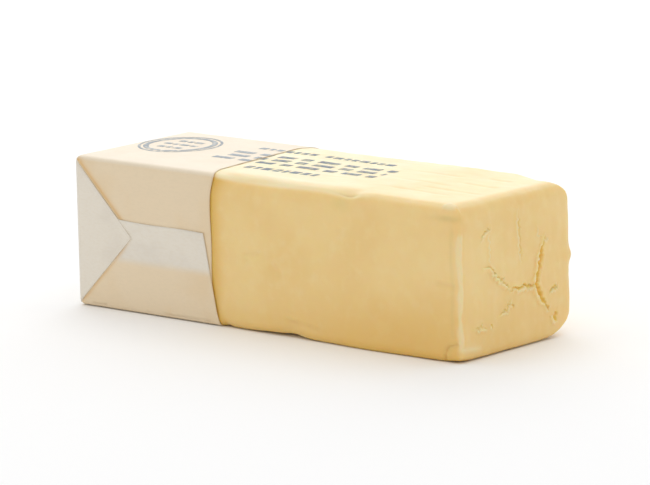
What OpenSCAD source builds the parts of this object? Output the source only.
// A block of butter with its paper wrapper still on one end.
// +X runs along the block from the wrapped end to the bare end, -Y is its front flank, +Z is up.
// The origin is under the middle of the block, on the surface it lies on.

/* [Block] */
// Length over all, from the wrapped end to the bare end
block_l = 107; // [85:1:130]
// Width over all, across the folded flanks
block_w = 37.6; // [28:0.2:44]
// Height over all
block_h = 33; // [26:0.5:42]

/* [Wrapper] */
// How far the paper reaches along the block
sleeve_l = 39.2; // [28:0.2:50]
// Thickness of one layer of paper
paper_t = 0.12; // [0.08:0.01:0.3]
// Rounding of the wrapped long edges on top
wrap_top_r = 2; // [1.2:0.1:3]
// Rounding of the wrapped long edges underneath
wrap_base_r = 1.2; // [0.8:0.1:2]
// Rounding round the wrapped end
wrap_end_r = 1; // [0.6:0.1:2]
// How far the cut edge runs out at the foot of the flanks
edge_flare = 2; // [0:0.1:4]
// How much shorter the paper is across the top
top_short = 2.6; // [0:0.1:6]
// Height of the middle of the strip where the two side flaps overlap
overlap_z = 15.7; // [13:0.1:18]
// Height of that strip
overlap_h = 9; // [5:0.5:12]
// How much shorter than the sleeve the strip is at its upper corner
overlap_short = 1.8; // [0:0.1:4]

/* [Butter] */
// Rounding of the bare long edges on top
bare_top_r = 3.2; // [2:0.1:4.5]
// Rounding of the bare long edges underneath
bare_base_r = 1.8; // [1:0.1:3]
// Rounding round the bare end
bare_end_r = 1.8; // [1:0.1:3.5]
// How far the butter steps in just past the paper
neck_in = 0.3; // [0:0.05:0.8]
// How far the bare top lies under the wrapped top
top_drop = 0.15; // [0:0.05:1]
// How far the bare end face bulges
end_crown = 0.3; // [0.2:0.1:1.5]

/* [Hidden] */

butter_colour = "#F3DC9C";
paper_colour = "#EFE6D4";

// The deepest stack of paper on a flank: one layer all over, and the doubled ear on top of it.
ear_layers = 3;
strip_layers = 2;

// The wrapped butter, which is what the paper is folded round.
core_w = block_w - 2 * ear_layers * paper_t;
core_z0 = paper_t;
core_z1 = block_h - paper_t;
core_x0 = -block_l / 2 + paper_t;
bare_x1 = block_l / 2;
edge_x = -block_l / 2 + sleeve_l;

// The height over which the cut edge turns from the flanks onto the top.
turn_h = 2.8;

// The butter is lofted this far below the surface it lies on, and trimmed flat there.
foot_trim = 0.25;

// How finely the rounded shapes are drawn.
arc_steps = 5;
side_steps = 6;
ring_n = 4 * (arc_steps + side_steps);
bare_step = 3;
end_steps = 5;
face_steps = 5;

// The tightest corner that a drawn-in ring keeps, and the furthest that its normals lean to the end.
least_r = 0.15;
most_lean = 80;

// Past the paper the butter steps in over the neck and comes most of the way back over the slope.
neck_l = 2.5;
slope_l = 8;
slope_back = 0.8;

// The bare flanks aren't quite flat: the depth of their waves, and their lengths along X and Z.
wave_depth = 0.08;
wave_x = 29;
wave_z = 37;

// No ring stands further out than this under the middle of the bare end face.
rim_back = 0.1;

// How fast the pattern of the rim dies away towards the middle of the bare end face.
rim_fade = 8;

// How far the outlines of the wrapper run on past its furthest cut.
run_on = 1;

// Soft spots: [distance from the bare end, share of the half width, share of the height, reach, depth].
// A positive depth is a dent or a worn corner, and a negative one a bulge.
soft_spots = [
    [31, -1, 1, 3.5, 0.7],
    [45, -1, 0, 4.5, 0.7],
    [24, -1, 0.04, 9, -0.3],
    [54, -0.9, 0.45, 12, 0.15],
    [0, 1, 1, 6, 0.5],
    [0, 1, 0, 5, 0.5],
    [0, -1, 0, 4, 0.6],
    [2, 1, 0.6, 2.5, -0.25]
];

function smooth(t) = let (s = min(max(t, 0), 1)) s * s * (3 - 2 * s);
function mix(a, b, t) = a + (b - a) * t;
function sum(v, i = 0) = i == len(v) ? 0 : v[i] + sum(v, i + 1);

// Where the paper is cut, at a height.
function cut_x(z) =
    edge_x + edge_flare * pow(1 - z / block_h, 3) - top_short * smooth(1 + (z - core_z1) / turn_h);

// One rounded corner of the outline, as [y, z, normal y, normal z] at each step from the angle a0.
function corner(cy, cz, r, a0) = [
    for (i = [0 : arc_steps])
        let (a = a0 + 90 * i / arc_steps)
        [cy + r * cos(a), cz + r * sin(a), cos(a), sin(a)]
];

// The outline across the block, counterclockwise seen from the bare end.
function outline(half_w, z0, z1, r_base, r_top) =
    let (corners = [
        corner(half_w - r_base, z0 + r_base, r_base, -90),
        corner(half_w - r_top, z1 - r_top, r_top, 0),
        corner(r_top - half_w, z1 - r_top, r_top, 90),
        corner(r_base - half_w, z0 + r_base, r_base, 180)
    ])
    [
        for (k = [0 : 3])
            let (here = corners[k], last = here[arc_steps], next = corners[(k + 1) % 4][0])
            for (i = [0 : arc_steps + side_steps - 1])
                i <= arc_steps ? here[i] : mix(last, next, (i - arc_steps) / side_steps)
    ];

// How bare a place along the block is: 0 under the paper, 1 past its neck.
function bareness(x) = smooth((x - edge_x - edge_flare) / neck_l);

// How far a surface point moves out along its normal, for the neck past the paper and the soft spots.
function relief(p, normal) =
    let (
        past = p.x - cut_x(p.z),
        neck = neck_in * smooth(past / neck_l) * (1 - slope_back * smooth((past - neck_l) / slope_l)),
        pull = [
            for (s = soft_spots)
                let (
                    c = [bare_x1 - s[0], s[1] * core_w / 2, s[2] * block_h],
                    d = norm(p - c) / s[3]
                )
                s[4] * exp(-d * d)
        ],
        wave = wave_depth * sin(360 * p.x / wave_x) * sin(360 * (p.z + p.y) / wave_z)
    )
    past < 0 ? 0 : -neck - sum(pull) + wave * smooth(past / slope_l);

// One ring of the butter: a place along X, how far its outline is drawn in, and how far its normals
// lean to the bare end.
function ring(x, inset, lean) =
    let (
        b = bareness(x),
        r_base = mix(wrap_base_r, bare_base_r, b),
        r_top = mix(wrap_top_r, bare_top_r, b),
        z0 = mix(core_z0, -foot_trim, b),
        z1 = mix(core_z1, block_h - top_drop, b)
    )
    [
        for (o = outline(core_w / 2 - inset, z0 + inset, z1 - inset,
                         max(r_base - inset, least_r), max(r_top - inset, least_r)))
            let (
                p = [x, o[0], o[1]],
                normal = [sin(lean), o[2] * cos(lean), o[3] * cos(lean)],
                q = p + normal * relief(p, normal)
            )
            [min(q.x, bare_x1 - rim_back), q.y, q.z]
    ];

// The rings from the wrapped end to the rim of the bare end face.
body_x0 = core_x0 + wrap_end_r;
body_x1 = bare_x1 - end_crown - bare_end_r;
bare_x0 = edge_x + edge_flare;
top_cut_x = edge_x - top_short;
bare_n = ceil((body_x1 - bare_x0) / bare_step);

body_rings = [
    for (i = [0 : arc_steps])
        let (a = 90 * i / arc_steps)
        ring(body_x0 - wrap_end_r * cos(a), wrap_end_r * (1 - sin(a)), -90 + a),
    ring(mix(body_x0, top_cut_x, 0.5), 0, 0),
    for (i = [0 : 3])
        ring(mix(top_cut_x, bare_x0, i / 3), 0, 0),
    ring(bare_x0 + neck_l / 2, 0, 0),
    for (i = [1 : bare_n])
        ring(mix(bare_x0, body_x1, i / bare_n), 0, 0),
    for (i = [1 : end_steps])
        let (a = 90 * i / end_steps)
        ring(body_x1 + bare_end_r * sin(a), bare_end_r * (1 - cos(a)), min(a, most_lean))
];

// The bare end face: the rim drawn in towards its middle in steps, over a low pillow.
rim = body_rings[len(body_rings) - 1];
middle = [0, block_h / 2];
function pillow_x(y, z) =
    let (u = 2 * y / (core_w - 2 * bare_end_r), v = (2 * z - block_h) / (block_h - 2 * bare_end_r))
    bare_x1 - end_crown * (1 - max(1 - u * u, 0) * max(1 - v * v, 0));
face_rings = [
    for (k = [1 : face_steps])
        let (s = 1 - k / (face_steps + 1))
        [
            for (p = rim)
                let (y = mix(middle.x, p.y, s), z = mix(middle.y, p.z, s))
                [mix(pillow_x(y, z), p.x, pow(s, rim_fade)), y, z]
        ]
];

butter_rings = concat(body_rings, face_rings);

// Skins a list of rings of ring_n points each, with a fan from a hub over either end.
module skin(rings, first_hub, last_hub) {
    last = len(rings) - 1;
    first_i = (last + 1) * ring_n;
    last_i = first_i + 1;
    triangles = [
        for (j = [0 : ring_n - 1])
            let (k = (j + 1) % ring_n)
            each concat(
                [[j, k, first_i], [last * ring_n + k, last * ring_n + j, last_i]],
                [
                    for (i = [0 : last - 1])
                        let (a = i * ring_n + j, b = i * ring_n + k, c = b + ring_n, d = a + ring_n)
                        each [[a, d, c], [a, c, b]]
                ]
            )
    ];
    polyhedron(concat([for (r = rings) each r], [first_hub, last_hub]), triangles);
}

module butter() {
    color(butter_colour)
        intersection() {
            skin(
                butter_rings,
                [core_x0, middle.x, middle.y],
                [pillow_x(middle.x, middle.y), middle.x, middle.y]
            );
            translate([-block_l, -block_w, 0])
                cube([2 * block_l, 2 * block_w, 2 * block_h]);
        }
}

// A round-cornered profile in the plane, from its low corner to its high one, with the radii of its
// four corners counterclockwise from the low right one. A radius of 0 leaves a corner sharp.
module profile(low, high, radii) {
    centres = [
        [high.x - radii[0], low.y + radii[0]],
        [high.x - radii[1], high.y - radii[1]],
        [low.x + radii[2], high.y - radii[2]],
        [low.x + radii[3], low.y + radii[3]]
    ];
    polygon([
        for (k = [0 : 3])
            for (i = [0 : radii[k] > 0 ? arc_steps : 0])
                let (a = 90 * (k - 1) + 90 * i / arc_steps)
                centres[k] + radii[k] * [cos(a), sin(a)]
    ]);
}

// The wrapped end of the core under some paper, with more paper on its flanks, running on past the cut.
module wrapped_end(grow, flank_grow) {
    low = [core_x0 - grow, -core_w / 2 - flank_grow, core_z0 - grow];
    high = [bare_x0 + run_on, core_w / 2 + flank_grow, core_z1 + grow];
    top_r = wrap_top_r + grow;
    base_r = wrap_base_r + grow;
    end_r = wrap_end_r + grow;
    intersection() {
        // across the block
        translate([low.x, 0, 0])
            rotate([90, 0, 90])
                linear_extrude(high.x - low.x)
                    profile([low.y, low.z], [high.y, high.z], [base_r, top_r, top_r, base_r]);
        // seen from above
        translate([0, 0, low.z])
            linear_extrude(high.z - low.z)
                profile([low.x, low.y], [high.x, high.y], [0, 0, end_r, end_r]);
        // seen from the side
        translate([0, high.y, 0])
            rotate([90, 0, 0])
                linear_extrude(high.y - low.y)
                    profile([low.x, low.z], [high.x, high.z], [0, 0, end_r, end_r]);
    }
}

// An outline in X and Z, pushed through the block from flank to flank.
module pushed_through(points) {
    rotate([90, 0, 0])
        linear_extrude(2 * block_w, center = true)
            polygon(points);
}

// The strip on each flank where the lower flap lies over the upper one.
module overlap_strip() {
    z0 = overlap_z - overlap_h / 2;
    z1 = overlap_z + overlap_h / 2;
    intersection() {
        wrapped_end(paper_t, strip_layers * paper_t);
        pushed_through([
            [-block_l / 2, z0],
            [cut_x(z0), z0],
            [cut_x(z1) - overlap_short, z1],
            [-block_l / 2, z1]
        ]);
    }
}

// The ear on each flank: the side of the end panel, folded at 45 degrees from the corners of the block.
module ears() {
    intersection() {
        wrapped_end(paper_t, ear_layers * paper_t);
        pushed_through([
            [-block_l / 2, 0],
            [(block_h - block_l) / 2, block_h / 2],
            [-block_l / 2, block_h]
        ]);
    }
}

// Everything past the cut edge of the paper.
module past_cut() {
    flank_steps = 6;
    turn_steps = 6;
    far = [block_l, block_h];
    turn_z = core_z1 - turn_h;
    cut = [
        for (i = [0 : flank_steps]) let (z = turn_z * i / flank_steps) [cut_x(z), z],
        for (i = [1 : turn_steps]) let (z = turn_z + turn_h * i / turn_steps) [cut_x(z), z]
    ];
    pushed_through(concat(
        [[bare_x0, -far.y]],
        cut,
        [[top_cut_x, 2 * far.y], [far.x, 2 * far.y], [far.x, -far.y]]
    ));
}

module wrapper() {
    color(paper_colour)
        difference() {
            union() {
                wrapped_end(paper_t, paper_t);
                overlap_strip();
                ears();
            }
            wrapped_end(0, 0);
            past_cut();
        }
}

butter();
wrapper();
